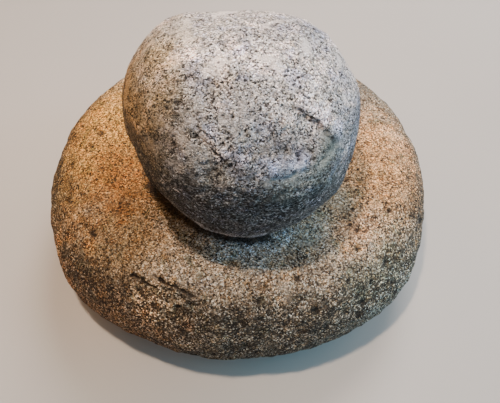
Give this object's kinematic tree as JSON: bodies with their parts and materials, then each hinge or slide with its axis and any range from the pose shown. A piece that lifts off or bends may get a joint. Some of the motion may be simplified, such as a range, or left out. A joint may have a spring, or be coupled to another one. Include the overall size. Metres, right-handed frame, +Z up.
{
  "type": "saddle quern stone with handstone",
  "caption": "Thick round granite quern stone with a shallow worn dish, and the rounded granite handstone that rests in it.",
  "frame": {"origin": "on the ground under the middle of the lower stone, at the middle of the whole object's box", "axes": "+Z up, +X along the lower stone's width, -Y to the front, where the handstone rests a little nearer"},
  "size_m": [0.2899, 0.2709, 0.2146],
  "materials": {
    "tan_granite": "pecked, coarse-grained granite stained tan and orange, matt",
    "grey_granite": "worn, medium-grained light grey granite, matt"
  },
  "bodies": {
    "root": {"lower_stone": "tan_granite", "handstone": "grey_granite"}
  },
  "joints": []
}
